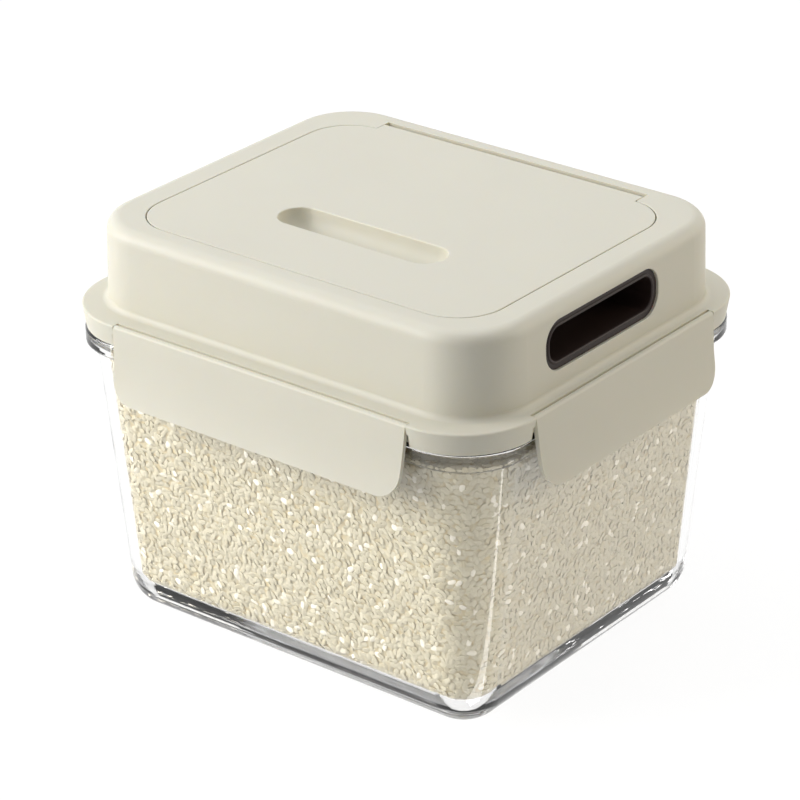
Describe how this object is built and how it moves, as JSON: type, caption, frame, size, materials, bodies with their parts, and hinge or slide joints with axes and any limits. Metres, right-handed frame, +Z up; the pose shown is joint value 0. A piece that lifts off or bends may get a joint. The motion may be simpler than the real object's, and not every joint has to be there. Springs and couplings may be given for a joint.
{
  "type": "rice bin with flip lid",
  "caption": "Square-shouldered glass food bin with a flared body, a four-latch plastic lid with a raised dome, a flip panel over the pouring mouth and recessed side grips",
  "frame": {"origin": "bottom centre of the closed bin, on the surface it stands on", "axes": "+Z up, -Y towards the front edge of the flip panel, +Y towards its hinge, +X towards the right-hand carrying grip"},
  "size_m": [0.2854, 0.2506, 0.219],
  "materials": {
    "clear_glass": "pressed and fire-polished clear glass",
    "ivory_plastic": "warm ivory polypropylene, fine satin",
    "dark_plastic": "dark brown moulded plastic, satin",
    "silicone": "translucent white silicone rubber",
    "steel": "drawn stainless steel pin"
  },
  "bodies": {
    "bowl": {"glass_bowl": "clear_glass"},
    "lid": {"lid_shell": "ivory_plastic", "mouth_frame": "ivory_plastic", "lid_seal": "silicone", "hinge_pin_left": "steel", "hinge_pin_right": "steel", "grip_liner_left": "dark_plastic", "grip_liner_right": "dark_plastic"},
    "front_latch": {"latch_front": "ivory_plastic"},
    "back_latch": {"latch_back": "ivory_plastic"},
    "left_latch": {"latch_left": "ivory_plastic"},
    "right_latch": {"latch_right": "ivory_plastic"},
    "flip": {"flip_lid": "ivory_plastic", "flip_liner": "ivory_plastic", "flip_seal": "silicone"}
  },
  "joints": [
    {"name": "lid_lift", "type": "slide", "parent": "bowl", "child": "lid", "axis": [0, 0, 1], "range_m": [0, 0.07]},
    {"name": "flip_hinge", "type": "hinge", "parent": "lid", "child": "flip", "pos_m": [0, 0.0869, 0.215], "axis": [-1, 0, 0], "range_deg": [0, 100]},
    {"name": "latch_front_hinge", "type": "hinge", "parent": "lid", "child": "front_latch", "pos_m": [0, -0.1176, 0.1726], "axis": [-1, 0, 0], "range_deg": [-4.2, 130]},
    {"name": "latch_back_hinge", "type": "hinge", "parent": "lid", "child": "back_latch", "pos_m": [0, 0.1176, 0.1726], "axis": [1, 0, 0], "range_deg": [-4.2, 130]},
    {"name": "latch_left_hinge", "type": "hinge", "parent": "lid", "child": "left_latch", "pos_m": [-0.135, 0, 0.1726], "axis": [0, 1, 0], "range_deg": [-4.2, 130]},
    {"name": "latch_right_hinge", "type": "hinge", "parent": "lid", "child": "right_latch", "pos_m": [0.135, 0, 0.1726], "axis": [0, -1, 0], "range_deg": [-4.2, 130]}
  ]
}
